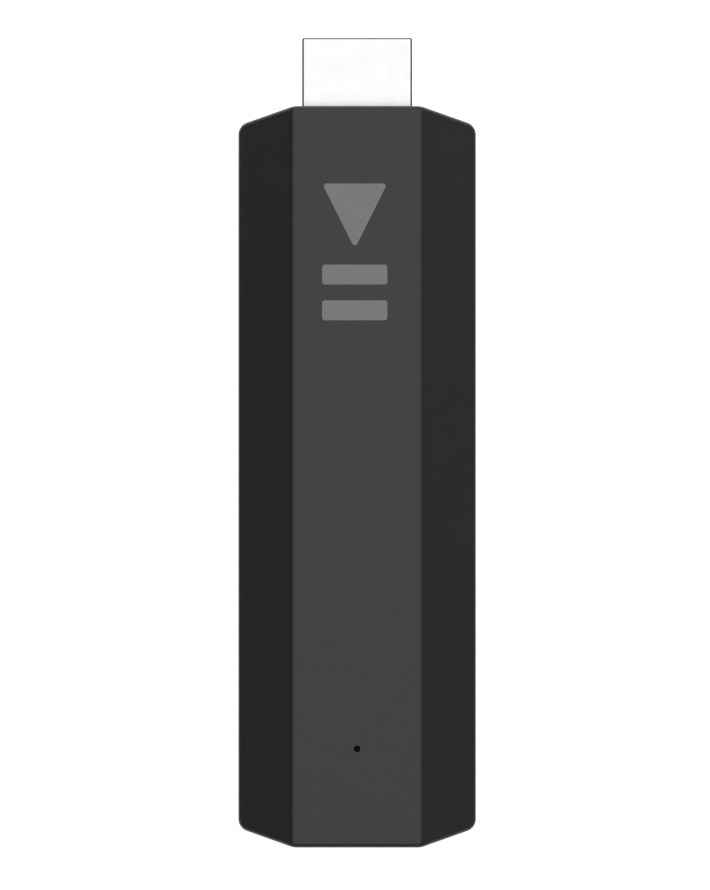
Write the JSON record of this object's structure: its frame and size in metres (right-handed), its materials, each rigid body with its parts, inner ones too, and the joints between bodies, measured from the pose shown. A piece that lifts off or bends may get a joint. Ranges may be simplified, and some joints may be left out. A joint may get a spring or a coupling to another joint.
{
  "type": "streaming media player",
  "caption": "Faceted stick that plugs into a display's HDMI port, with a power socket, a side key and its electronics inside.",
  "frame": {"origin": "under the middle of the overall box, on the plane the back rests on", "axes": "+Z out of the front face, +Y towards the tip of the HDMI plug, +X to the right with the plug pointing away"},
  "size_m": [0.0298, 0.1018, 0.014],
  "materials": {
    "case": "fine matte spark texture, moulded",
    "button": "fine matte texture, moulded",
    "label": "blank satin film label",
    "ink": "pad-printed grey ink",
    "clear_plastic": "clear moulded light guide",
    "black_plastic": "glass-filled moulded plastic",
    "plug_metal": "bright nickel plate over folded sheet",
    "socket_metal": "tin-plated folded sheet",
    "gold": "gold flash over copper alloy",
    "board": "green solder mask over glass laminate",
    "screw_steel": "zinc-plated steel",
    "chip": "moulded package",
    "ferrite": "moulded ferrite",
    "capacitor": "fired ceramic with tinned ends",
    "can_metal": "tin-plated pressed sheet",
    "led": "white resin package",
    "pad": "soft silicone gap pad",
    "sink": "plain machined aluminium",
    "antenna": "flexible circuit film",
    "cable": "thin coaxial cable jacket"
  },
  "bodies": {
    "stick": {"front_cover": "case", "rear_cover": "case", "rear_label": "label", "printed_mark": "ink", "light_pipe": "clear_plastic", "reset_switch_body": "black_plastic", "hdmi_plug_shell": "plug_metal", "hdmi_insulator": "black_plastic", "hdmi_contacts": "gold", "usb_shell": "socket_metal", "usb_tongue": "black_plastic", "usb_contacts": "gold", "main_board": "board", "board_screws": "screw_steel", "system_on_chip": "chip", "memory_chips": "chip", "flash_chip": "chip", "power_controller": "chip", "power_inductors": "ferrite", "crystal": "can_metal", "ceramic_capacitors": "capacitor", "chip_resistors": "chip", "status_led": "led", "shield_frame": "can_metal", "shield_lid": "can_metal", "chip_thermal_pad": "pad", "heat_sink_pad": "pad", "heat_sink": "sink", "rear_thermal_pad": "pad", "rear_heat_plate": "sink", "wifi_module": "can_metal", "antenna_sockets": "gold", "antenna_plugs": "gold", "antenna_left": "antenna", "antenna_right": "antenna", "antenna_cable_left": "cable", "antenna_cable_right": "cable"},
    "reset_button": {"reset_button": "button"},
    "switch_plunger": {"reset_switch_plunger": "black_plastic"}
  },
  "joints": [
    {"name": "reset_button_press", "type": "slide", "parent": "stick", "child": "reset_button", "axis": [-1, 0, 0], "range_m": [0, 0.0003], "stiffness_N_per_m": 400, "springref_m": -0.002},
    {"name": "switch_plunger_press", "type": "slide", "parent": "stick", "child": "switch_plunger", "axis": [-1, 0, 0], "range_m": [0, 0.0003]}
  ],
  "couplings": [
    {"joint": "switch_plunger_press", "follows": "reset_button_press", "ratio": 1}
  ]
}
